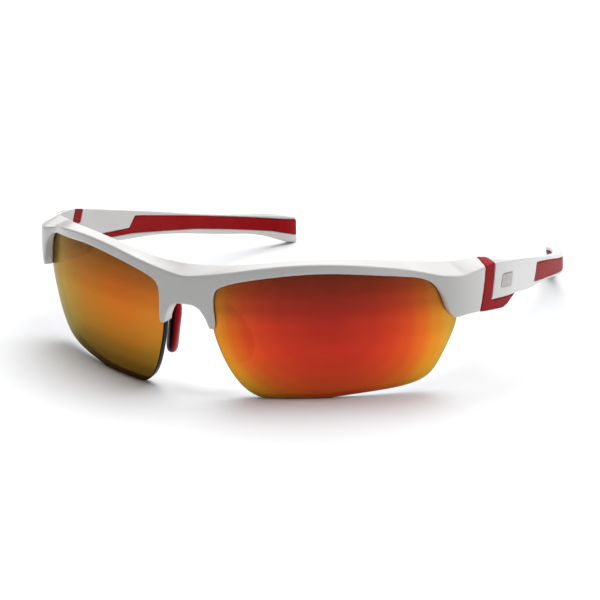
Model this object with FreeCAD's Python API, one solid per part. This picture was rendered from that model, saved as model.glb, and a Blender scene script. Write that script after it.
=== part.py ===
import FreeCAD, Part
import math
import os
from FreeCAD import Vector

# Half-rim wraparound sport sunglasses, opened out and standing on the lens bottoms and arm tips.
# Millimetres. +X is the wearer's left, +Y runs back to the arm tips, +Z is up.
# The wearer's left half is built, and mirrored for the right. While it is built, Y = 0 is at
# the bridge; at the end every piece is shifted so that the origin is under the middle.

# Lens: a spherical shell. Its centre lies behind the bridge and past the middle plane, so the two
# lenses meet at the nose in a blunt wedge.
LENS_RADIUS = 98.9
LENS_THICKNESS = 2.0
LENS_CENTRE = Vector(-9.1, 97.9, 27.7)
CONE_BASE_Y = -40.0

# Lens outline on its front surface, as (x, z). The top of the rim sits in the frame's groove.
LENS_NOSE_SIDE = [(7.7, 31.0), (7.7, 25.5), (8.2, 20.5), (9.5, 15.2), (12.7, 7.0), (16.0, 2.4)]
LENS_REST_X = (22.0, 36.0)
LENS_REST_Z = -0.3
LENS_BOTTOM = [(44.5, 1.0), (51.5, 1.8), (57.3, 3.0)]
LENS_OUTER_SIDE = [(61.2, 5.4), (65.0, 12.2), (67.3, 18.3), (68.3, 23.0)]
LENS_TOP = [(66.4, 31.5), (62.4, 35.9), (53.0, 38.3), (37.5, 39.8), (24.5, 38.8), (13.0, 36.2), (8.8, 34.0)]

# Front frame: a thicker shell about the lens's centre. Heights are of its bottom before the
# window is cut, its front ridge, and the back edge of its top. Depths are at its top and bottom.
FRAME_RADIUS = 100.2
FRAME_BOTTOM_Z = 21.7
# Angle round the centre, ridge height, back edge height, top depth, bottom depth
FRONT_STATIONS = [
    (9.0, 37.6, 39.8, 4.2, 4.6),
    (14.0, 39.0, 40.2, 4.1, 4.6),
    (20.0, 40.6, 41.2, 4.0, 4.6),
    (27.0, 41.4, 41.8, 4.0, 4.6),
    (34.0, 40.8, 41.5, 4.1, 4.6),
    (40.0, 39.3, 40.6, 4.2, 4.8),
    (45.0, 37.2, 39.6, 4.5, 5.0),
]
BRIDGE_STATION = (36.9, 39.8, 4.2, 4.6)

# The side, from endpiece to arm tip. Outer face (x, y), its heading off +Y, the thickness, and
# the heights of the bottom, the outer top edge and the inner top edge.
SIDE_STATIONS = [
    (69.8, 33.2, 38.0, 5.4, 22.8, 35.2, 38.6),
    (72.3, 38.5, 18.0, 5.6, 22.9, 35.0, 38.1),
    (73.5, 45.0, 8.0, 5.6, 21.8, 35.1, 37.3),
    (74.0, 52.0, 3.0, 5.3, 20.5, 34.7, 35.9),
    (74.1, 58.5, -1.0, 5.0, 19.8, 33.3, 34.2),
    (73.7, 65.0, -4.0, 4.8, 21.2, 31.8, 32.5),
    (72.9, 72.0, -7.0, 4.6, 20.2, 30.1, 30.6),
    (70.1, 92.0, -10.0, 4.0, 16.8, 24.9, 25.1),
    (66.1, 112.0, -13.0, 3.7, 12.6, 19.4, 19.5),
    (61.4, 130.0, -20.0, 3.6, 8.2, 14.7, 14.8),
    (54.8, 144.0, -25.0, 3.5, 4.5, 11.7, 11.8),
    (49.6, 156.3, -24.0, 3.4, 0.0, 8.3, 8.4),
]
SIDE_CROWN_RADIUS = 60.0

# The frame's edge over the lens, from the nose leg's tip to the endpiece's lower corner, (x, z).
LEG_EDGE = [(8.8, 21.9), (9.0, 23.6), (8.8, 27.0), (8.8, 31.0), (9.5, 33.2), (11.4, 34.5)]
BROW_EDGE = [(15.5, 35.8), (25.5, 37.6), (37.5, 38.5), (48.0, 37.7), (58.5, 35.9)]
DROP_EDGE = [(62.7, 33.8), (64.7, 30.0), (65.8, 25.6), (66.8, 23.4), (69.0, 22.4)]
WINDOW_LOW_Z = 12.0
# The nose arch, from its top to the leg's blunt tip, seen from the front.
ARCH_EDGE = [(0.0, 28.6), (2.8, 28.4), (4.6, 27.4), (6.0, 25.4), (6.9, 23.4), (7.3, 21.9)]

# The arm leaves the front at a slanting plane. It passes through the outer face at this height,
# leans back with height, and slants back towards the inner face.
SPLIT_X = 73.5
SPLIT_Y = 45.3
SPLIT_Z = 34.0
SPLIT_LEAN = 0.3
SPLIT_SLANT = 0.85
SPLIT_GAP = 0.15
SPLIT_REACH = 40.0

# Hinge: a vertical screw through two ears of the front and, between them, one tongue of the arm.
HINGE_X = 67.0
HINGE_Y = 49.8
HINGE_BOTTOM_Z = 22.2
EAR_HEIGHT = 2.6
TONGUE_HEIGHT = 3.0
HINGE_GAP = 0.1
BARREL_RADIUS = 2.5
BARREL_CLEARANCE = 0.3
ROOT_LENGTH = 8.0
ROOT_STRAIGHT = 2.8
ROOT_TAPER = 2.2
# How far a leaf's root reaches out into the wall, and an ear's neck where it passes the arm
ROOT_REACH = 4.2
NECK_REACH = 0.2
SCREW_RADIUS = 0.8
SCREW_RUNNING_RADIUS = 0.86
SCREW_HEAD_RADIUS = 1.4
SCREW_HEAD_HEIGHT = 0.9
SCREW_SLOT = (0.4, 0.45)
INSERT_RADIUS = 1.4
INSERT_HEIGHT = 2.4
TONGUE_Z = HINGE_BOTTOM_Z + EAR_HEIGHT + HINGE_GAP
TOP_EAR_Z = TONGUE_Z + TONGUE_HEIGHT + HINGE_GAP
HINGE_TOP_Z = TOP_EAR_Z + EAR_HEIGHT
# Where the arm has room for the ears, above and below each
EAR_ROOM = 0.2
# The part of the arm round the hinge that stays hard plastic, as reaches in, out and along
HINGE_ZONE = (9.0, 3.0, 15.0)

# Rubber let into the arm's skin, with outlines as (y, z) seen from the side.
RUBBER_DEPTH = 1.0
PAST_SKIN = -2.0
BAND_WIDTH = 6.2
BAND_FOOT = [(40.0, 25.6), (51.3, 23.9), (67.5, 21.1), (66.5, 18.0), (40.0, 18.0)]
INNER_GRIP_TOP = [(84.3, 25.3), (110.6, 18.9), (133.0, 13.3), (158.0, 7.0)]
INNER_GRIP_LOW = [(158.0, 1.2), (144.8, 5.9), (132.8, 9.0), (114.2, 13.6), (82.6, 19.9), (62.0, 22.8)]
INNER_GRIP_STEP = [(62.0, 24.4), (81.1, 21.9)]
OUTER_GRIP_TOP = [(88.6, 24.2), (101.6, 21.1), (125.4, 14.6), (151.0, 8.4)]
OUTER_GRIP_LOW = [(151.0, 3.4), (140.0, 6.8), (121.4, 11.2), (101.6, 15.7), (85.3, 19.3)]

# A plain slanted plaque on the arm's outer face, as (y, z).
BADGE_DEPTH = 0.4
BADGE = [(56.0, 30.2), (63.5, 28.8), (61.7, 25.2), (54.2, 26.6)]

# Nose pad: a leaf-shaped cushion on a bent core that plugs into the nose leg.
PAD_TOP = Vector(7.8, 8.2, 27.0)
PAD_BOTTOM = Vector(12.4, 11.6, 9.4)
PAD_SPLAY = 30.0
PAD_WIDTH = 9.6
PAD_THICKNESS = 3.6
PAD_ROUNDNESS = 0.8
CORE_RADIUS = 0.75
CORE_ROOT = Vector(7.7, 3.6, 26.4)
CORE_BEND = Vector(8.6, 8.7, 24.4)
CORE_END = 0.7
# Share of the pad's length from its top, and share of its full width there
PAD_PROFILE = [(0.0, 0.12), (0.25, 0.62), (0.5, 0.92), (0.68, 1.0), (0.86, 0.82), (1.0, 0.3)]

# A distance well past every piece, for shapes that only cut
FAR = 200.0


def on_lens(x, z):
    """The point of the lens's front surface at a given x and z."""
    x_off = x - LENS_CENTRE.x
    z_off = z - LENS_CENTRE.z
    return Vector(x, LENS_CENTRE.y - math.sqrt(LENS_RADIUS ** 2 - x_off ** 2 - z_off ** 2), z)


def to_base(points):
    """Points (x, z) of the lens front, thrown from the lens centre onto the cone's base plane."""
    thrown = []
    for x, z in points:
        ray = on_lens(x, z) - LENS_CENTRE
        thrown.append(LENS_CENTRE + ray * ((CONE_BASE_Y - LENS_CENTRE.y) / ray.y))
    return thrown


def spline(points):
    curve = Part.BSplineCurve()
    curve.interpolate(points)
    return curve.toShape()


def straight(a, b):
    return Part.LineSegment(a, b).toShape()


def cone_of(edges):
    """The solid from the lens centre to a closed outline on the base plane. It cuts shells square."""
    return Part.makeLoft([Part.Vertex(LENS_CENTRE), Part.Wire(edges)], True, True)


def block(low, high):
    return Part.makeBox(high[0] - low[0], high[1] - low[1], high[2] - low[2], Vector(*low))


def prism(points, direction):
    """A closed straight-sided outline, extruded."""
    return Part.Face(Part.makePolygon(points + [points[0]])).extrude(direction)


def side_prism(outline):
    """A (y, z) outline, extruded through the left arm."""
    return prism([Vector(0, y, z) for y, z in outline], Vector(FAR, 0, 0))


def plan_prism(outline, low_z, height):
    return prism([Vector(x, y, low_z) for x, y in outline], Vector(0, 0, height))


def mirrored(shape):
    return shape.mirror(Vector(0, 0, 0), Vector(1, 0, 0))


def largest(shape):
    return max(shape.Solids, key=lambda solid: solid.Volume)


def make_lens():
    rest = [(x, LENS_REST_Z) for x in LENS_REST_X]
    nose_side = to_base(LENS_NOSE_SIDE + rest[:1])
    rim = to_base(rest[1:] + LENS_BOTTOM + LENS_OUTER_SIDE + LENS_TOP + LENS_NOSE_SIDE[:1])
    cone = cone_of([spline(nose_side), straight(nose_side[-1], rim[0]), spline(rim)])
    shell = Part.makeSphere(LENS_RADIUS, LENS_CENTRE)
    shell = shell.cut(Part.makeSphere(LENS_RADIUS - LENS_THICKNESS, LENS_CENTRE))
    floor = block((-FAR, -FAR, -FAR), (FAR, FAR, 0))
    return largest(shell.common(cone).cut(floor))


def section(side, outer, heading, depths, crown, heights, inset):
    """A closed cross-section of the front or an arm. outer is the outer face's (x, y) at the
    crown's height, and heading is the way it runs, in degrees off +Y. inset takes that much off
    the outer face, the inner face, and the top and bottom."""
    turn = math.radians(heading)
    inward = Vector(-math.cos(turn), math.sin(turn), 0)
    base = Vector(outer[0], outer[1], 0)
    crown_radius, crown_z = crown
    bottom = heights[0] + inset[2]
    ridge = heights[1] - inset[2]
    back = heights[2] - inset[2]
    top_depth = depths[0] - inset[1]
    low_depth = depths[1] - inset[1]

    def at(depth, z):
        sink = crown_radius - math.sqrt(crown_radius ** 2 - (z - crown_z) ** 2)
        p = base + inward * (depth + sink)
        return Vector(side * p.x, p.y, z)

    def face(depth, low, top_depth, high):
        middle = at((depth + top_depth) / 2, (low + high) / 2)
        return Part.Arc(at(depth, low), middle, at(top_depth, high)).toShape()

    return Part.Wire([
        face(inset[0], bottom, inset[0], ridge),
        straight(at(inset[0], ridge), at(top_depth, back)),
        face(top_depth, back, low_depth, bottom),
        straight(at(low_depth, bottom), at(inset[0], bottom)),
    ])


def front_sections(side, inset):
    """Sections of one half of the front, from just beside the bridge outwards."""
    wires = []
    for angle, ridge, back, top_depth, low_depth in FRONT_STATIONS:
        turn = math.radians(angle)
        outer = (LENS_CENTRE.x + FRAME_RADIUS * math.sin(turn),
                 LENS_CENTRE.y - FRAME_RADIUS * math.cos(turn))
        wires.append(section(side, outer, 90 - angle, (top_depth, low_depth),
                             (FRAME_RADIUS, LENS_CENTRE.z), (FRAME_BOTTOM_Z, ridge, back), inset))
    return wires


def bridge_section(inset):
    ridge, back, top_depth, low_depth = BRIDGE_STATION
    y = LENS_CENTRE.y - math.sqrt(FRAME_RADIUS ** 2 - LENS_CENTRE.x ** 2)
    return section(1, (0, y), 90, (top_depth, low_depth), (FRAME_RADIUS, LENS_CENTRE.z),
                   (FRAME_BOTTOM_Z, ridge, back), inset)


def side_sections(inset):
    wires = []
    for x, y, heading, thickness, bottom, ridge, back in SIDE_STATIONS:
        crown = (SIDE_CROWN_RADIUS, (bottom + ridge) / 2)
        wires.append(section(1, (x, y), heading, (thickness, thickness), crown,
                             (bottom, ridge, back), inset))
    return wires


def make_blank(inset=(0, 0, 0)):
    """The left half of the front and the left arm as one band, before anything is cut. It starts a
    little past the bridge, so that it runs smoothly through the middle plane."""
    past_bridge = front_sections(-1, inset)[:2]
    half = front_sections(1, inset) + side_sections(inset)
    return Part.makeLoft(past_bridge[::-1] + [bridge_section(inset)] + half, True)


def behind_split(offset):
    """Everything behind the left split plane, moved back by an offset."""
    def at(x, z):
        lean = SPLIT_LEAN * (z - SPLIT_Z)
        slant = SPLIT_SLANT * (SPLIT_X - x)
        return Vector(x, SPLIT_Y + lean + slant + offset, z)

    inner_x = SPLIT_X - SPLIT_REACH
    outer_x = SPLIT_X + SPLIT_REACH
    low_z = SPLIT_Z - SPLIT_REACH
    high_z = SPLIT_Z + SPLIT_REACH
    corners = [at(inner_x, low_z), at(outer_x, low_z), at(outer_x, high_z), at(inner_x, high_z)]
    return prism(corners, Vector(0, FAR, 0))


def barrel(radius, low_z, height):
    return Part.makeCylinder(radius, height, Vector(HINGE_X, HINGE_Y, low_z))


def root(low_z, height, back, reach):
    """The tapered root of a hinge leaf, which runs forwards to the front, or back to the arm when
    back is 1."""
    inner_x = HINGE_X - BARREL_RADIUS
    outline = [(inner_x, HINGE_Y),
               (inner_x, HINGE_Y + back * ROOT_STRAIGHT),
               (inner_x + ROOT_TAPER, HINGE_Y + back * ROOT_LENGTH),
               (HINGE_X + reach, HINGE_Y + back * ROOT_LENGTH),
               (HINGE_X + reach, HINGE_Y)]
    return plan_prism(outline, low_z, height)


def make_ear(low_z):
    """A leaf of the front: its root ends at the split, and a neck carries it on to the barrel."""
    wide = root(low_z, EAR_HEIGHT, -1, ROOT_REACH).cut(behind_split(0))
    neck = root(low_z, EAR_HEIGHT, -1, NECK_REACH)
    return barrel(BARREL_RADIUS, low_z, EAR_HEIGHT).fuse(neck).fuse(wide)


def make_tongue():
    return barrel(BARREL_RADIUS, TONGUE_Z, TONGUE_HEIGHT).fuse(root(TONGUE_Z, TONGUE_HEIGHT, 1, ROOT_REACH))


def make_screw():
    head = barrel(SCREW_HEAD_RADIUS, HINGE_TOP_Z - SCREW_HEAD_HEIGHT, SCREW_HEAD_HEIGHT)
    width, depth = SCREW_SLOT
    slot = block((HINGE_X - BARREL_RADIUS, HINGE_Y - width / 2, HINGE_TOP_Z - depth),
                 (HINGE_X + BARREL_RADIUS, HINGE_Y + width / 2, HINGE_TOP_Z))
    shank = barrel(SCREW_RADIUS, HINGE_BOTTOM_Z, HINGE_TOP_Z - HINGE_BOTTOM_Z - SCREW_HEAD_HEIGHT / 2)
    return largest(head.cut(slot).fuse(shank))


def make_insert():
    bush = barrel(INSERT_RADIUS, HINGE_BOTTOM_Z, INSERT_HEIGHT)
    return largest(bush.cut(barrel(SCREW_RADIUS, HINGE_BOTTOM_Z, INSERT_HEIGHT)))


def nose_arch():
    """The opening over the nose, cut straight back through the bridge."""
    def at(x, z):
        return Vector(x, CONE_BASE_Y, z)

    tip_x, tip_z = ARCH_EDGE[-1]
    right = [at(-x, z) for x, z in ARCH_EDGE[:0:-1]]
    over = spline(right + [at(x, z) for x, z in ARCH_EDGE])
    under = Part.makePolygon([at(tip_x, tip_z), at(tip_x, WINDOW_LOW_Z),
                              at(-tip_x, WINDOW_LOW_Z), at(-tip_x, tip_z)])
    return Part.Face(Part.Wire([over] + under.Edges)).extrude(Vector(0, FAR, 0))


def make_front(blank, lens, screw, insert, core):
    ears = make_ear(HINGE_BOTTOM_Z).fuse(make_ear(TOP_EAR_Z))
    tongue_room = barrel(BARREL_RADIUS + BARREL_CLEARANCE, TONGUE_Z - HINGE_GAP,
                         TONGUE_HEIGHT + 2 * HINGE_GAP)
    rim = to_base([(LEG_EDGE[0][0], WINDOW_LOW_Z)] + LEG_EDGE[:1])
    over = to_base(LEG_EDGE + BROW_EDGE + DROP_EDGE)
    low = to_base([(DROP_EDGE[-1][0], WINDOW_LOW_Z)])[0]
    window = cone_of([straight(rim[0], rim[1]), spline(over), straight(over[-1], low),
                      straight(low, rim[0])])
    half = blank.cut(nose_arch()).cut(behind_split(0)).cut(window).cut(lens)
    half = half.fuse(ears).cut(tongue_room).cut(screw).cut(insert).cut(core)
    half = largest(half)
    return largest(half.fuse(mirrored(half)).removeSplitter())


def make_arm_blank(blank):
    """The left arm with its tongue, before rubber is let into it."""
    arm = blank.common(behind_split(SPLIT_GAP))
    for low_z in (HINGE_BOTTOM_Z, TOP_EAR_Z):
        arm = arm.cut(barrel(BARREL_RADIUS + BARREL_CLEARANCE, low_z - EAR_ROOM, EAR_HEIGHT + 2 * EAR_ROOM))
    arm = arm.fuse(make_tongue())
    return arm.cut(barrel(SCREW_RUNNING_RADIUS, TONGUE_Z, TONGUE_HEIGHT))


def make_arm_pieces(blank):
    arm = make_arm_blank(blank)
    core_all = make_blank((RUBBER_DEPTH, RUBBER_DEPTH, RUBBER_DEPTH))
    core_inner = make_blank((PAST_SKIN, RUBBER_DEPTH, PAST_SKIN))
    core_outer = make_blank((RUBBER_DEPTH, PAST_SKIN, PAST_SKIN))
    core_badge = make_blank((BADGE_DEPTH, PAST_SKIN, PAST_SKIN))

    ring = behind_split(0).cut(behind_split(BAND_WIDTH))
    zone_in, zone_out, zone_along = HINGE_ZONE
    hinge_zone = block((HINGE_X - zone_in, HINGE_Y - zone_along, HINGE_BOTTOM_Z - EAR_ROOM),
                       (HINGE_X + zone_out, HINGE_Y + zone_along, HINGE_TOP_Z + EAR_ROOM))
    band = arm.common(ring.fuse(side_prism(BAND_FOOT))).cut(core_all).cut(hinge_zone)
    inner = arm.common(side_prism(INNER_GRIP_TOP + INNER_GRIP_LOW + INNER_GRIP_STEP)).cut(core_inner)
    outer = arm.common(side_prism(OUTER_GRIP_TOP + OUTER_GRIP_LOW)).cut(core_outer)
    badge = arm.common(side_prism(BADGE)).cut(core_badge)
    pieces = {"temple_band": largest(band), "temple_grip_inner": largest(inner),
              "temple_grip_outer": largest(outer), "temple_badge": largest(badge)}
    for piece in pieces.values():
        arm = arm.cut(piece)
    pieces["temple_arm"] = largest(arm)
    return pieces


def make_core():
    """The stiff core of the nose pad: out of the leg, then down the middle of the pad."""
    low = PAD_TOP + (PAD_BOTTOM - PAD_TOP) * CORE_END
    root = Part.makeCylinder(CORE_RADIUS, (CORE_BEND - CORE_ROOT).Length, CORE_ROOT,
                             CORE_BEND - CORE_ROOT)
    stem = Part.makeCylinder(CORE_RADIUS, (low - CORE_BEND).Length, CORE_BEND, low - CORE_BEND)
    return largest(root.fuse(Part.makeSphere(CORE_RADIUS, CORE_BEND)).fuse(stem).removeSplitter())


def make_pad(core):
    """A leaf: widest below its middle, pointed at the top, rounded at the bottom."""
    along = (PAD_BOTTOM - PAD_TOP).normalize()
    splay = math.radians(PAD_SPLAY)
    across = Vector(math.sin(splay), math.cos(splay), 0)
    across = (across - along * across.dot(along)).normalize()
    normal = along.cross(across)
    length = (PAD_BOTTOM - PAD_TOP).Length
    wires = []
    for share, width in PAD_PROFILE:
        centre = PAD_TOP + along * (length * share)
        half_width = width * PAD_WIDTH / 2
        half_thickness = min(PAD_ROUNDNESS * half_width, PAD_THICKNESS / 2)
        ellipse = Part.Ellipse(centre + across * half_width, centre + normal * half_thickness, centre)
        wires.append(Part.Wire(ellipse.toShape()))
    return largest(Part.makeLoft(wires, True).cut(core))


def main():
    blank = make_blank().common(block((0, -FAR, -FAR), (FAR, FAR, FAR)))
    lens = make_lens()
    screw = make_screw()
    insert = make_insert()
    core = make_core()
    pad = make_pad(core)
    left = {"lens": lens, "hinge_screw": screw, "hinge_insert": insert, "nose_pad_core": core,
            "nose_pad": pad}
    left.update(make_arm_pieces(blank))
    pieces = {"front_frame": make_front(blank, lens, screw, insert, core)}
    for name, shape in left.items():
        pieces[name + "_left"] = shape
        pieces[name + "_right"] = mirrored(shape)

    box = Part.makeCompound(list(pieces.values())).optimalBoundingBox(False, False)
    os.makedirs("parts", exist_ok=True)
    for name, shape in sorted(pieces.items()):
        shape.translate(Vector(0, -(box.YMin + box.YMax) / 2, 0))
        shape.exportStep("parts/" + name + ".step")
        print(name, shape.ShapeType, len(shape.Solids), round(shape.Volume, 1), shape.isValid())
    print("shifted by", -(box.YMin + box.YMax) / 2, "box", box)


if __name__ == "__main__":
    main()
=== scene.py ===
import math

import bmesh
import bpy
import numpy as np
from mathutils import Euler, Matrix, Vector
from mathutils.bvhtree import BVHTree


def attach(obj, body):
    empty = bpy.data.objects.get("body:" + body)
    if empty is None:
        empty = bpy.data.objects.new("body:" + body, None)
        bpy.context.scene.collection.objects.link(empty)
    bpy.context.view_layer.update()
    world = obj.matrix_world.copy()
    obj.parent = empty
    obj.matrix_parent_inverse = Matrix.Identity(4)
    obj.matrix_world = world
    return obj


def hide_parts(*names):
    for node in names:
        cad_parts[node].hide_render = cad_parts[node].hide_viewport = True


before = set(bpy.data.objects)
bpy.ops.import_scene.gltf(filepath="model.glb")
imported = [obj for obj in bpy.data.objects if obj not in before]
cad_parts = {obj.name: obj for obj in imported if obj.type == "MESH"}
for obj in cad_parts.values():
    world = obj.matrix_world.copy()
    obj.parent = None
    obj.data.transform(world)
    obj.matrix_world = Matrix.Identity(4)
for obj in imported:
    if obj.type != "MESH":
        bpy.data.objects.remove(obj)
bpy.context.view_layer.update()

# Half-rim wraparound sport sunglasses. Metres, in the frame of the CAD model: +X is the wearer's
# left, +Y runs back to the arm tips, +Z is up. The wearer's left pieces end in _left.
MM = 0.001
SIDES = {"left": 1, "right": -1}

# The lens's spheres, as in the CAD model. The right lens's centre is the left one's mirror image.
BRIDGE_Y = -77.209 * MM
LENS_CENTRE = Vector((-9.1, 97.9, 27.7)) * MM + Vector((0, BRIDGE_Y, 0))
LENS_OUTER_RADIUS = 98.9 * MM
LENS_INNER_RADIUS = 96.9 * MM

# The voxel size of each moulded skin, and how many times it is smoothed. The front's back wall
# tears if its voxels are larger, so its skin has too many triangles at first and is thinned out.
FRAME_SKIN = (0.2 * MM, 46)
ARM_SKIN = (0.235 * MM, 26)
RUBBER_SKIN = (0.2 * MM, 16)
PAD_SKIN = (0.25 * MM, 10)
BADGE_SKIN = (0.12 * MM, 3)
MOST_TRIANGLES = 190000
# How far the skins of the arms' rubber parts are sunk below their CAD surfaces
RUBBER_SINK = 0.05 * MM
# Points closer than this are welded into one
WELD_WITHIN = 0.002 * MM
# The turn given to a mesh while it is cut into voxels, in degrees
VOXEL_TILT = (33, 21, 47)
# How finely each CAD triangle is divided, and how far it is curved towards its normals' surface
CURVE_STEPS = 6
CURVE_SHARE = 0.75
MOST_LIFT = 0.04 * MM
# Past the first distance from the CAD surface a skin keeps its rounding, and within the second it
# is laid back onto the surface
ROUNDED_PAST = 0.14 * MM
TRUE_WITHIN = 0.04 * MM

# A CAD vertex this close to the lens's outer sphere is on it. A face there is the lens's front if
# the cosine of its angle to the sphere is over the second value.
SPHERE_WITHIN = 0.02 * MM
FRONT_FACING = 0.7
# The lens's edge: its rounding, the fine rings just inside it, and the rings on to the middle
OUTLINE_POINTS = 400
EDGE_ROUNDING = 0.3 * MM
EDGE_STEPS = 4
FINE_RING_STEP = 0.25 * MM
FINE_RINGS = 20
WIDE_RINGS = 16
# Where the frame lies on the lens, a dark line of painted shadow runs along its edge. It is full
# within the first distance of the frame and gone at the second.
PAINTED_SEAM_SHADOW_REACH = (0.1 * MM, 0.4 * MM)

# The nose pads' turn outwards, in degrees, and how far to each side of their middle the painted
# shade on their lens side fades in
PAD_SPLAY = 30.0
PAINTED_SHADE_BLEND = 0.6 * MM

# The camera: where it looks, from which side, how far away, its roll and its focal length
TARGET = Vector((10.11, -27.21, 16.25)) * MM
AZIMUTH = 28.11
ELEVATION = 17.3
DISTANCE = 904.4 * MM
ROLL = -1.61
FOCAL_MM = 181.1


# ---- Meshes ----

def new_object(name, mesh):
    piece = bpy.data.objects.new(name, mesh)
    bpy.context.scene.collection.objects.link(piece)
    return piece


def apply_modifiers(piece):
    graph = bpy.context.evaluated_depsgraph_get()
    mesh = bpy.data.meshes.new_from_object(piece.evaluated_get(graph))
    piece.modifiers.clear()
    piece.data = mesh


def curved_copy(source):
    """A CAD mesh divided finely, with its flat triangles curved to follow the CAD's own normals."""
    mesh = source.data
    mesh.calc_loop_triangles()
    corners = np.empty(len(mesh.loop_triangles) * 3, np.int32)
    mesh.loop_triangles.foreach_get("loops", corners)
    vertex_of = np.empty(len(mesh.loops), np.int32)
    mesh.loops.foreach_get("vertex_index", vertex_of)
    normals = np.empty(len(mesh.loops) * 3, np.float32)
    mesh.corner_normals.foreach_get("vector", normals)
    normals = normals.reshape(-1, 3)[corners].reshape(-1, 3, 3).astype(float)
    points = points_of(mesh)[vertex_of[corners]].reshape(-1, 3, 3)
    steps = CURVE_STEPS
    shares = np.array([(steps - i - j, i, j) for i in range(steps + 1)
                       for j in range(steps + 1 - i)]) / steps
    number = {}
    for i in range(steps + 1):
        for j in range(steps + 1 - i):
            number[i, j] = len(number)
    cells = []
    for i, j in number:
        if i + j < steps:
            cells.append((number[i, j], number[i + 1, j], number[i, j + 1]))
        if i + j < steps - 1:
            cells.append((number[i + 1, j], number[i + 1, j + 1], number[i, j + 1]))
    flat = np.einsum("sk,tkc->tsc", shares, points)
    lift = np.zeros_like(flat)
    for k in range(3):
        off = ((flat - points[:, None, k]) * normals[:, None, k]).sum(2)
        lift -= shares[None, :, k, None] * off[:, :, None] * normals[:, None, k]
    lift *= CURVE_SHARE
    height = np.linalg.norm(lift, axis=2, keepdims=True)
    lift *= np.minimum(1, MOST_LIFT / np.maximum(height, 1e-12))
    curved = (flat + lift).reshape(-1, 3)
    base = np.arange(len(points))[:, None, None] * len(shares)
    triangles = (base + np.array(cells)[None]).reshape(-1, 3)
    copy = bpy.data.meshes.new(source.name + "_skin")
    copy.vertices.add(len(curved))
    copy.vertices.foreach_set("co", curved.astype(np.float32).ravel())
    copy.loops.add(triangles.size)
    copy.loops.foreach_set("vertex_index", triangles.astype(np.int32).ravel())
    copy.polygons.add(len(triangles))
    copy.polygons.foreach_set("loop_start", np.arange(0, triangles.size, 3, dtype=np.int32))
    copy.update(calc_edges=True)
    return copy


def keep_largest_part(mesh):
    """Deletes the crumbs that a feather edge breaks into when it is cut into voxels."""
    graph = bmesh.new()
    graph.from_mesh(mesh)
    unseen = set(graph.verts)
    parts = []
    while unseen:
        stack = [unseen.pop()]
        part = list(stack)
        while stack:
            for edge in stack.pop().link_edges:
                for vertex in edge.verts:
                    if vertex in unseen:
                        unseen.remove(vertex)
                        stack.append(vertex)
                        part.append(vertex)
        parts.append(part)
    parts.sort(key=len)
    for crumb in parts[:-1]:
        bmesh.ops.delete(graph, geom=crumb, context="VERTS")
    graph.to_mesh(mesh)
    graph.free()


def moulded(node, voxel, passes):
    """A new piece in a CAD node's shape, with every edge rounded as moulding leaves it. It is cut
    into voxels at an angle to the axes, which leaves no long steps along its edges. It is then
    smoothed, and laid back onto the CAD surface where that is near. A skin with more than
    MOST_TRIANGLES is thinned out to that many."""
    piece = new_object(node + "_skin", curved_copy(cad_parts[node]))
    true_points = points_of(piece.data)
    true_faces = np.empty(len(piece.data.loops), np.int32)
    piece.data.loops.foreach_get("vertex_index", true_faces)
    surface = BVHTree.FromPolygons(true_points.tolist(), true_faces.reshape(-1, 3).tolist())
    tilt = Euler([math.radians(angle) for angle in VOXEL_TILT]).to_matrix().to_4x4()
    piece.data.transform(tilt)
    weld = piece.modifiers.new("weld", "WELD")
    weld.merge_threshold = WELD_WITHIN
    skin = piece.modifiers.new("skin", "REMESH")
    skin.mode = "VOXEL"
    skin.voxel_size = voxel
    relax = piece.modifiers.new("relax", "SMOOTH")
    relax.factor = 0.5
    relax.iterations = passes
    apply_modifiers(piece)
    keep_largest_part(piece.data)
    piece.data.transform(tilt.inverted())
    points = points_of(piece.data)
    nearest = np.array([surface.find_nearest(point)[0] for point in points])
    off = np.linalg.norm(nearest - points, axis=1)
    share = np.clip((ROUNDED_PAST - off) / (ROUNDED_PAST - TRUE_WITHIN), 0, 1)
    share = share * share * (3 - 2 * share)
    set_points(piece.data, points + (nearest - points) * share[:, None])
    triangles = 2 * len(piece.data.polygons)
    if triangles > MOST_TRIANGLES:
        thin = piece.modifiers.new("thin", "DECIMATE")
        thin.ratio = MOST_TRIANGLES / triangles
        apply_modifiers(piece)
    piece.data.shade_smooth()
    return piece


def points_of(mesh):
    points = np.empty(len(mesh.vertices) * 3, np.float32)
    mesh.vertices.foreach_get("co", points)
    return points.reshape(-1, 3).astype(float)


def set_points(mesh, points):
    mesh.vertices.foreach_set("co", points.astype(np.float32).ravel())
    mesh.update()


def both_sides(part, voxel, passes, sink=0.0):
    """A pair of moulded pieces: the left one from its CAD node, the right one its mirror image.
    Both can be sunk a little all over, so that the edge round them stands proud."""
    left = moulded(part + "_left", voxel, passes)
    outwards = np.empty(len(left.data.vertices) * 3, np.float32)
    left.data.vertex_normals.foreach_get("vector", outwards)
    set_points(left.data, points_of(left.data) - sink * outwards.reshape(-1, 3))
    mesh = left.data.copy()
    mesh.transform(Matrix.Diagonal((-1, 1, 1, 1)))
    mesh.flip_normals()
    return {"left": left, "right": new_object(part + "_right_skin", mesh)}


def finish_piece(piece, body, nodes, materials):
    for material in materials:
        piece.data.materials.append(material)
    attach(piece, body)
    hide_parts(*nodes)


# ---- Materials ----

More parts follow.
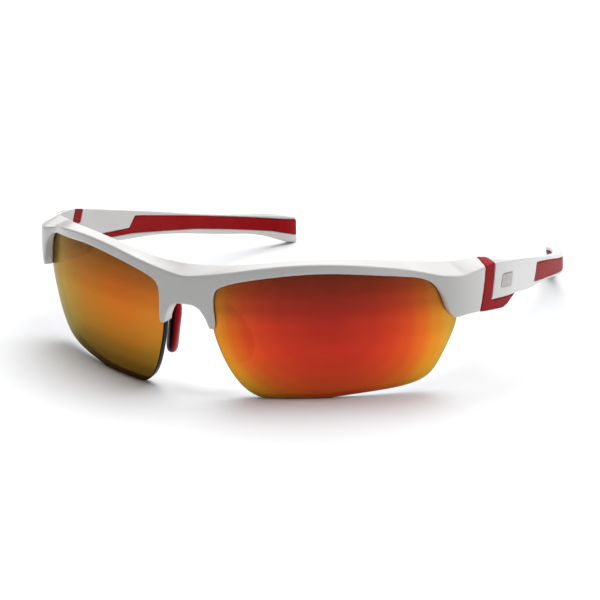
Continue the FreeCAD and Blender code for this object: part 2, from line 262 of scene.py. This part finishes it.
class Nodes:
    """A short way to write one material's nodes."""

    def __init__(self, name):
        self.material = bpy.data.materials.new(name)
        self.material.use_nodes = True
        self.tree = self.material.node_tree
        self.shader = self.tree.nodes["Principled BSDF"]
        self.output = self.tree.nodes["Material Output"]
        self.place = self.add("ShaderNodeTexCoord").outputs["Object"]

    def add(self, kind, **settings):
        node = self.tree.nodes.new(kind)
        for key, value in settings.items():
            setattr(node, key, value)
        return node

    def link(self, source, target):
        self.tree.links.new(source, target)

    def set(self, **values):
        for key, value in values.items():
            self.shader.inputs[key.replace("_", " ")].default_value = value

    def noise(self, scale, detail=2.0, stretch=None):
        """Noise with about `scale` cells to a metre, stretched along the axes if asked."""
        node = self.add("ShaderNodeTexNoise")
        node.inputs["Scale"].default_value = scale
        node.inputs["Detail"].default_value = detail
        source = self.place
        if stretch:
            mapping = self.add("ShaderNodeMapping")
            mapping.inputs["Scale"].default_value = stretch
            self.link(source, mapping.inputs["Vector"])
            source = mapping.outputs["Vector"]
        self.link(source, node.inputs["Vector"])
        return node.outputs["Fac"]

    def spread(self, source, low, high):
        """Turns noise, from 0.3 to 0.7, into low to high."""
        node = self.add("ShaderNodeMapRange")
        node.inputs["From Min"].default_value = 0.3
        node.inputs["From Max"].default_value = 0.7
        node.inputs["To Min"].default_value = low
        node.inputs["To Max"].default_value = high
        self.link(source, node.inputs["Value"])
        return node.outputs["Result"]

    def bump(self, source, height, strength=1.0):
        node = self.add("ShaderNodeBump")
        node.inputs["Distance"].default_value = height
        node.inputs["Strength"].default_value = strength
        self.link(source, node.inputs["Height"])
        self.link(node.outputs["Normal"], self.shader.inputs["Normal"])

    def ramp(self, source, stops):
        node = self.add("ShaderNodeValToRGB")
        ramp = node.color_ramp
        ramp.interpolation = "EASE"
        while len(ramp.elements) < len(stops):
            ramp.elements.new(1.0)
        for element, (position, colour) in zip(ramp.elements, stops):
            element.position = position
            element.color = (*colour, 1)
        self.link(source, node.inputs["Fac"])
        return node.outputs["Color"]

    def mix(self, kind, factor, a, b):
        """Blends two colours. Inputs 6 and 7 are the node's two colours, and output 2 its result."""
        node = self.add("ShaderNodeMix", data_type="RGBA", blend_type=kind)
        if isinstance(factor, float):
            node.inputs["Factor"].default_value = factor
        else:
            self.link(factor, node.inputs["Factor"])
        for socket, value in ((node.inputs[6], a), (node.inputs[7], b)):
            if isinstance(value, tuple):
                socket.default_value = (*value, 1)
            else:
                self.link(value, socket)
        return node.outputs[2]


def two_tone(nodes, scale, dark, light):
    """A base colour that wanders a little between two tones."""
    colour = nodes.mix("MIX", nodes.spread(nodes.noise(scale), 0.0, 1.0), dark, light)
    nodes.link(colour, nodes.shader.inputs["Base Color"])


def white_plastic():
    nodes = Nodes("white_gloss_plastic")
    two_tone(nodes, 60.0, (0.575, 0.563, 0.55), (0.60, 0.588, 0.575))
    nodes.set(Coat_Weight=0.8, Coat_Roughness=0.16, Specular_IOR_Level=0.3)
    nodes.link(nodes.spread(nodes.noise(50.0), 0.36, 0.44), nodes.shader.inputs["Roughness"])
    nodes.bump(nodes.noise(70.0, 1.0), 0.02 * MM, 0.3)
    return nodes.material


def red_rubber(name, dark, light, roughness, lens_side_shade=None):
    nodes = Nodes(name)
    two_tone(nodes, 300.0, dark, light)
    # Painted shade: where the pad's lens side is marked, the red is blended to the given near-black
    if lens_side_shade:
        red = nodes.shader.inputs["Base Color"].links[0].from_socket
        share = nodes.add("ShaderNodeAttribute", attribute_name="lens_side_shade").outputs["Fac"]
        nodes.link(nodes.mix("MIX", share, red, lens_side_shade), nodes.shader.inputs["Base Color"])
    nodes.set(Specular_IOR_Level=0.06)
    nodes.link(nodes.spread(nodes.noise(2500.0), roughness - 0.06, roughness + 0.06),
               nodes.shader.inputs["Roughness"])
    nodes.bump(nodes.noise(5000.0, 3.0), 0.02 * MM)
    return nodes.material


def metal(name, dark, light, stretch):
    nodes = Nodes(name)
    two_tone(nodes, 800.0, dark, light)
    nodes.set(Metallic=1.0)
    nodes.link(nodes.spread(nodes.noise(3000.0, 4.0, stretch), 0.25, 0.45),
               nodes.shader.inputs["Roughness"])
    nodes.bump(nodes.noise(3000.0, 4.0, stretch), 0.01 * MM)
    return nodes.material


def see_through(nodes, solid_share, tint):
    """Lets a tinted share of the light straight through."""
    clear = nodes.add("ShaderNodeBsdfTransparent")
    clear.inputs["Color"].default_value = (*tint, 1)
    mix = nodes.add("ShaderNodeMixShader")
    mix.inputs["Fac"].default_value = solid_share
    nodes.link(clear.outputs[0], mix.inputs[1])
    nodes.link(nodes.shader.outputs[0], mix.inputs[2])
    nodes.link(mix.outputs[0], nodes.output.inputs["Surface"])


def mirror_coat_and_painted_shade(name, heart, spread, outwards, up, tint):
    """The lens's mirror film: a ramp of colours outwards from its heart, partly the film's own
    colours and partly its colour shift and brightness from one viewpoint, painted in. It is multiplied
    by a ramp of painted shade from the lens's foot to its brow, and a painted shadow line is laid
    along the frame's edge. heart is (distance from the middle plane, height), and spread is
    how much a distance counts towards the nose, upwards and downwards."""
    nodes = Nodes(name)
    split = nodes.add("ShaderNodeSeparateXYZ")
    nodes.link(nodes.place, split.inputs[0])

    def math_node(operation, *values):
        node = nodes.add("ShaderNodeMath", operation=operation)
        for socket, value in zip(node.inputs, values):
            if isinstance(value, (int, float)):
                socket.default_value = value
            else:
                nodes.link(value, socket)
        return node.outputs[0]

    nose_share, up_share, down_share = spread
    across = math_node("SUBTRACT", math_node("ABSOLUTE", split.outputs["X"]), heart[0] * MM)
    across = math_node("MAXIMUM", across, math_node("MULTIPLY", across, -nose_share))
    above = math_node("SUBTRACT", split.outputs["Z"], heart[1] * MM)
    above = math_node("MAXIMUM", math_node("MULTIPLY", above, up_share),
                      math_node("MULTIPLY", above, -down_share))
    squares = math_node("ADD", math_node("MULTIPLY", across, across),
                        math_node("MULTIPLY", above, above))
    distance = math_node("DIVIDE", math_node("SQRT", squares), LENS_REACH)
    height = math_node("DIVIDE", split.outputs["Z"], LENS_HEIGHT)
    # The painted shadow line along the frame's edge
    painted_seam_shadow = nodes.add("ShaderNodeAttribute", attribute_name="painted_seam_shadow").outputs["Fac"]
    # The film's colours, partly its own and partly its colour shift and brightness from one viewpoint,
    # painted in
    film_colour_and_painted_reflection = nodes.ramp(distance, [(x * MM / LENS_REACH, colour) for x, colour in outwards])
    # Painted shade: darker towards the lens's foot and brow, standing in for the darker surroundings
    # the lens reflects there
    shade = nodes.ramp(height, [(z * MM / LENS_HEIGHT, colour) for z, colour in up])
    # The film's colour times the painted shade
    film = nodes.mix("MULTIPLY", 1.0, film_colour_and_painted_reflection, shade)
    nodes.link(nodes.mix("MIX", painted_seam_shadow, film, PAINTED_SEAM_SHADOW_COLOUR), nodes.shader.inputs["Base Color"])
    nodes.link(nodes.spread(nodes.noise(300.0), 0.23, 0.27), nodes.shader.inputs["Roughness"])
    nodes.set(Metallic=0.75, Specular_IOR_Level=0.1, Specular_Tint=(0.9, 0.6, 0.2, 1),
              Coat_Weight=0.08, Coat_Roughness=0.03)
    see_through(nodes, 0.87, tint)
    return nodes.material


def smoke(name, solid_share, gloss):
    """The dark lens itself, as seen from behind and at its edge."""
    nodes = Nodes(name)
    nodes.set(Base_Color=(0.016, 0.012, 0.01, 1), Roughness=0.06, Specular_IOR_Level=gloss)
    if solid_share < 1:
        see_through(nodes, solid_share, (0.9, 0.62, 0.3))
    return nodes.material


# The painted shadow line's colour, and the distance and height that the lenses' ramps span
PAINTED_SEAM_SHADOW_COLOUR = (0.03, 0.014, 0.006)
LENS_REACH = 70.0 * MM
LENS_HEIGHT = 40.0 * MM
# The left lens is red at its heart and yellow at its rim, partly the film's colours and partly its
# colour shift and brightness from one viewpoint, painted in. Painted shade darkens it up to the
# brow and a little at its foot. Distances and heights are in millimetres.
LEFT_HEART = (40.0, 22.0)
LEFT_SPREAD = (0.8, 0.35, 0.9)
LEFT_FILM_AND_PAINTED_REFLECTION = [
    (0.0, (0.45, 0.010, 0.012)), (10.0, (0.54, 0.022, 0.013)), (14.0, (0.64, 0.037, 0.014)),
    (18.0, (0.73, 0.070, 0.014)), (21.0, (0.80, 0.14, 0.014)), (24.0, (0.80, 0.27, 0.016)),
    (27.0, (0.70, 0.39, 0.04)), (31.0, (0.55, 0.45, 0.10)),
]
LEFT_PAINTED_SHADE = [
    (1.0, (0.80, 1.1, 1.5)), (4.0, (0.98, 1.35, 1.8)), (8.0, (1.1, 1.35, 1.6)),
    (14.0, (1.12, 1.18, 1.4)), (22.0, (0.87, 0.88, 1.1)), (29.0, (0.50, 0.48, 0.9)),
    (34.0, (0.29, 0.33, 0.65)), (38.0, (0.18, 0.30, 0.5)),
]
LEFT_TINT = (1.0, 0.35, 0.1)
# The right lens is orange by the nose and olive at its outer edge, partly the film's colours and
# partly its colour shift and brightness from one viewpoint, painted in. Painted shade darkens it at
# its foot and up to its brow.
RIGHT_HEART = (0.0, 0.0)
RIGHT_SPREAD = (1.0, 0.0, 0.0)
RIGHT_FILM_AND_PAINTED_REFLECTION = [
    (8.0, (0.62, 0.20, 0.015)), (26.0, (0.60, 0.145, 0.014)), (40.0, (0.48, 0.16, 0.012)),
    (50.0, (0.36, 0.19, 0.008)), (56.0, (0.27, 0.205, 0.005)), (62.0, (0.235, 0.195, 0.012)),
    (67.0, (0.19, 0.165, 0.03)),
]
RIGHT_PAINTED_SHADE = [
    (1.0, (0.10, 0.28, 0.35)), (4.0, (0.24, 0.62, 0.7)), (8.0, (0.52, 1.0, 1.2)),
    (14.0, (0.88, 1.18, 1.25)), (22.0, (1.0, 1.0, 1.1)), (28.0, (0.80, 0.66, 0.9)),
    (33.0, (0.49, 0.43, 0.75)), (37.0, (0.27, 0.27, 0.45)),
]
RIGHT_TINT = (1.0, 0.66, 0.18)


# ---- Pieces ----

def lens_outline(node, centre):
    """The edge of the lens's outer face, in order, as directions from the lens's centre."""
    mesh = bmesh.new()
    mesh.from_mesh(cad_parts[node].data)
    bmesh.ops.remove_doubles(mesh, verts=mesh.verts, dist=WELD_WITHIN)
    outer = LENS_OUTER_RADIUS - SPHERE_WITHIN
    on_outer = {v for v in mesh.verts if (v.co - centre).length > outer}
    front = {f for f in mesh.faces if all(v in on_outer for v in f.verts)
             and f.normal.dot((f.calc_center_median() - centre).normalized()) > FRONT_FACING}
    following = {}
    for face in front:
        for loop in face.loops:
            if sum(other in front for other in loop.edge.link_faces) == 1:
                following[loop.vert] = loop.link_loop_next.vert
    start = next(iter(following))
    path = [start]
    while following[path[-1]] is not start:
        path.append(following[path[-1]])
    points = np.array([v.co for v in path])
    mesh.free()
    closed = np.vstack([points, points[:1]])
    along = np.concatenate([[0], np.cumsum(np.linalg.norm(np.diff(closed, axis=0), axis=1))])
    wanted = np.linspace(0, along[-1], OUTLINE_POINTS, endpoint=False)
    even = np.stack([np.interp(wanted, along, closed[:, k]) for k in range(3)], 1)
    return (even - np.array(centre)) / LENS_OUTER_RADIUS


def lens_rings(outline):
    """The direction of the lens's middle, and the rings over its front, round its edge and over its
    back. Those over its faces start at the edge. A ring is a set of offsets from the lens's centre."""
    middle = outline.mean(0)
    middle /= np.linalg.norm(middle)
    across = np.cross((0, 0, 1), middle)
    across /= np.linalg.norm(across)
    up = np.cross(middle, across)
    flat = np.stack([outline @ across, outline @ up], 1) / (outline @ middle)[:, None]
    ahead = np.roll(flat, -1, 0) - np.roll(flat, 1, 0)
    inward = np.stack([-ahead[:, 1], ahead[:, 0]], 1)
    inward /= np.linalg.norm(inward, axis=1)[:, None]
    heart = flat.mean(0)
    if ((heart - flat) * inward).sum() < 0:
        inward = -inward
    edge = flat + inward * (EDGE_ROUNDING / LENS_OUTER_RADIUS)
    reach = np.linalg.norm(edge - heart, axis=1)[:, None]

    def ring(points, radius):
        directions = middle + points[:, :1] * across + points[:, 1:] * up
        return directions / np.linalg.norm(directions, axis=1)[:, None] * radius

    def face(radius):
        """Rings from the rounded edge inwards, as far as the last one round the middle."""
        rings = []
        for k in range(FINE_RINGS):
            step = k * FINE_RING_STEP / LENS_OUTER_RADIUS
            rings.append(ring(heart + (edge - heart) * (1 - step / reach), radius))
        start = (FINE_RINGS - 1) * FINE_RING_STEP / LENS_OUTER_RADIUS
        for k in range(1, WIDE_RINGS):
            share = (1 - start / reach) * (1 - k / WIDE_RINGS)
            rings.append(ring(heart + (edge - heart) * share, radius))
        return rings

    rim = []
    for k in range(1, EDGE_STEPS + 1):
        turn = math.radians(90 * k / EDGE_STEPS)
        out = flat + inward * (EDGE_ROUNDING * (1 - math.sin(turn)) / LENS_OUTER_RADIUS)
        rim.append((out, EDGE_ROUNDING * (1 - math.cos(turn))))
    front_rim = [ring(out, LENS_OUTER_RADIUS - sink) for out, sink in rim]
    back_rim = [ring(out, LENS_INNER_RADIUS + sink) for out, sink in rim[::-1]]
    front = face(LENS_OUTER_RADIUS)
    back = face(LENS_INNER_RADIUS)
    return (middle, front, front_rim + back_rim, back)


def make_lens(name, side, body, frame_skin, coat, smoke_back, smoke_edge):
    """The lens, its two big faces exactly on their spheres and its edge rounded."""
    centre = Vector((LENS_CENTRE.x * side, LENS_CENTRE.y, LENS_CENTRE.z))
    middle, front, rim, back = lens_rings(lens_outline(name, centre))
    rings = front[::-1] + rim + back
    tips = [middle * LENS_OUTER_RADIUS, middle * LENS_INNER_RADIUS]
    points = np.vstack(rings + [np.array(tips)]) + np.array(centre)
    count = OUTLINE_POINTS
    last = len(rings) - 1
    first_tip = len(rings) * count
    faces = []
    index = []
    # Material 0 is the mirror film in front, 1 the back and 2 the edge
    for k in range(last):
        kind = 0 if k < len(front) - 1 else 1 if k >= len(front) + len(rim) - 1 else 2
        for i in range(count):
            j = (i + 1) % count
            faces.append((k * count + i, (k + 1) * count + i, (k + 1) * count + j, k * count + j))
            index.append(kind)
    for i in range(count):
        j = (i + 1) % count
        faces.append((first_tip, i, j))
        index.append(0)
        faces.append((first_tip + 1, last * count + j, last * count + i))
        index.append(1)
    mesh = bpy.data.meshes.new(name + "_skin")
    mesh.from_pydata(points.tolist(), [], faces)
    shape = bmesh.new()
    shape.from_mesh(mesh)
    bmesh.ops.recalc_face_normals(shape, faces=shape.faces)
    shape.to_mesh(mesh)
    shape.free()
    piece = new_object(name + "_skin", mesh)
    finish_piece(piece, body, [name], [coat, smoke_back, smoke_edge])
    mesh.polygons.foreach_set("material_index", np.array(index, np.int32))
    mesh.shade_smooth()

    # Painted shadow: the front's points near the frame are marked, and darkened to a line along the
    # frame's edge
    tree = BVHTree.FromObject(frame_skin, bpy.context.evaluated_depsgraph_get())
    painted_seam_shadow = np.zeros(len(points), np.float32)
    near, far = PAINTED_SEAM_SHADOW_REACH
    for i in range(len(front) * count):
        found = tree.find_nearest(points[i], far)
        if found[0] is not None:
            painted_seam_shadow[i] = min(1, max(0, (far - found[3]) / (far - near)))
    mesh.attributes.new("painted_seam_shadow", "FLOAT", "POINT").data.foreach_set("value", painted_seam_shadow)
    mesh.update()


def mark_painted_shade(pad, side):
    """Marks the side of the pad that faces the lens, where painted shade darkens its red as if shade
    fell there.
    """
    points = points_of(pad.data) * (side, 1, 1)
    splay = math.radians(PAD_SPLAY)
    outwards = points @ np.array((math.cos(splay), -math.sin(splay), 0))
    lean = np.polyfit(points[:, 2], outwards, 1)
    off = outwards - np.polyval(lean, points[:, 2])
    share = np.clip(0.5 + off / (2 * PAINTED_SHADE_BLEND), 0, 1).astype(np.float32)
    pad.data.attributes.new("lens_side_shade", "FLOAT", "POINT").data.foreach_set("value", share)


def make_pieces():
    white = white_plastic()
    trim = red_rubber("trim_red_rubber", (0.265, 0.0016, 0.004), (0.315, 0.0022, 0.006), 0.5)
    # The pads' red, with a near-black painted shade on the side facing the lens
    pad_red = red_rubber("pad_red_rubber", (0.30, 0.002, 0.006), (0.36, 0.003, 0.008), 0.36,
                         (0.006, 0.001, 0.002))
    steel = metal("screw_steel", (0.5, 0.5, 0.51), (0.62, 0.62, 0.63), (1, 1, 6))
    brass = metal("insert_brass", (0.62, 0.44, 0.16), (0.74, 0.55, 0.24), (1, 1, 6))
    plaque = metal("badge_aluminium", (0.34, 0.32, 0.31), (0.42, 0.40, 0.39), (1, 0.1, 6))
    smoke_back = smoke("smoke_lens_back", 0.6, 0.6)
    smoke_edge = smoke("smoke_lens_edge", 1.0, 0.05)
    coats = {
        "left": mirror_coat_and_painted_shade("mirror_coat_left", LEFT_HEART, LEFT_SPREAD, LEFT_FILM_AND_PAINTED_REFLECTION, LEFT_PAINTED_SHADE,
                            LEFT_TINT),
        "right": mirror_coat_and_painted_shade("mirror_coat_right", RIGHT_HEART, RIGHT_SPREAD, RIGHT_FILM_AND_PAINTED_REFLECTION,
                             RIGHT_PAINTED_SHADE, RIGHT_TINT),
    }

    front = moulded("front_frame", *FRAME_SKIN)
    finish_piece(front, "front", ["front_frame"], [white])
    pads = both_sides("nose_pad", *PAD_SKIN)
    arms = both_sides("temple_arm", *ARM_SKIN)
    badges = both_sides("temple_badge", *BADGE_SKIN)
    rubber_parts = ("temple_band", "temple_grip_inner", "temple_grip_outer")
    rubbers = {part: both_sides(part, *RUBBER_SKIN, RUBBER_SINK) for part in rubber_parts}
    for side, sign in SIDES.items():
        make_lens("lens_" + side, sign, "front", front, coats[side], smoke_back, smoke_edge)
        mark_painted_shade(pads[side], sign)
        finish_piece(pads[side], "front", ["nose_pad_" + side], [pad_red])
        body = "temple_" + side
        finish_piece(arms[side], body, ["temple_arm_" + side], [white])
        finish_piece(badges[side], body, ["temple_badge_" + side], [plaque])
        for part, pair in rubbers.items():
            finish_piece(pair[side], body, [part + "_" + side], [trim])
        kept = (("hinge_screw_", steel), ("hinge_insert_", brass), ("nose_pad_core_", steel))
        for part, material in kept:
            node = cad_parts[part + side]
            node.data.materials.clear()
            node.data.materials.append(material)


# ---- Stage ----

def make_camera():
    azimuth = math.radians(AZIMUTH)
    elevation = math.radians(ELEVATION)
    back = Vector((math.sin(azimuth) * math.cos(elevation),
                   -math.cos(azimuth) * math.cos(elevation), math.sin(elevation)))
    right = Vector((math.cos(azimuth), math.sin(azimuth), 0))
    turn = Matrix((right, back.cross(right), back)).transposed().to_4x4()
    camera = bpy.data.objects.new("camera", bpy.data.cameras.new("camera"))
    camera.data.lens = FOCAL_MM
    camera.data.sensor_width = 36.0
    camera.data.clip_start = 0.05
    camera.data.clip_end = 50.0
    camera.matrix_world = Matrix.Translation(TARGET + back * DISTANCE) @ turn @ Matrix.Rotation(
        math.radians(ROLL), 4, "Z")
    bpy.context.scene.collection.objects.link(camera)
    bpy.context.scene.camera = camera


def make_floor():
    mesh = bpy.data.meshes.new("floor")
    reach = 6.0
    corners = [(-reach, -reach, 0), (reach, -reach, 0), (reach, reach, 0), (-reach, reach, 0)]
    mesh.from_pydata(corners, [], [(0, 1, 2, 3)])
    floor = new_object("floor", mesh)
    nodes = Nodes("pale_floor")
    nodes.set(Base_Color=(0.86, 0.87, 0.88, 1), Roughness=0.9, Specular_IOR_Level=0.1)
    mesh.materials.append(nodes.material)


def make_light(name, place, aim, size, power):
    """An area light. Its place, aim and size are in metres, and its power is in watts."""
    data = bpy.data.lights.new(name, "AREA")
    data.shape = "RECTANGLE"
    data.size, data.size_y = size
    data.energy = power
    light = bpy.data.objects.new(name, data)
    light.location = place
    light.rotation_euler = (Vector(aim) - Vector(place)).to_track_quat("-Z", "Y").to_euler()
    bpy.context.scene.collection.objects.link(light)


def make_world():
    world = bpy.data.worlds.new("studio")
    world.use_nodes = True
    background = world.node_tree.nodes["Background"]
    background.inputs["Color"].default_value = (0.9, 0.93, 1.0, 1)
    background.inputs["Strength"].default_value = 0.06
    bpy.context.scene.world = world


make_camera()
make_floor()
make_light("overhead", (0.1, 0.5, 2.0), (0, 0, 0), (2.8, 2.2), 72.0)
make_light("right_side", (1.5, 0.4, 0.6), (0, 0, 0.02), (0.8, 0.8), 3.5)
make_light("behind", (-0.8, 1.6, 1.0), (0, 0, 0), (3.4, 1.5), 24.0)
make_world()
bpy.context.scene.view_settings.view_transform = "Standard"
make_pieces()
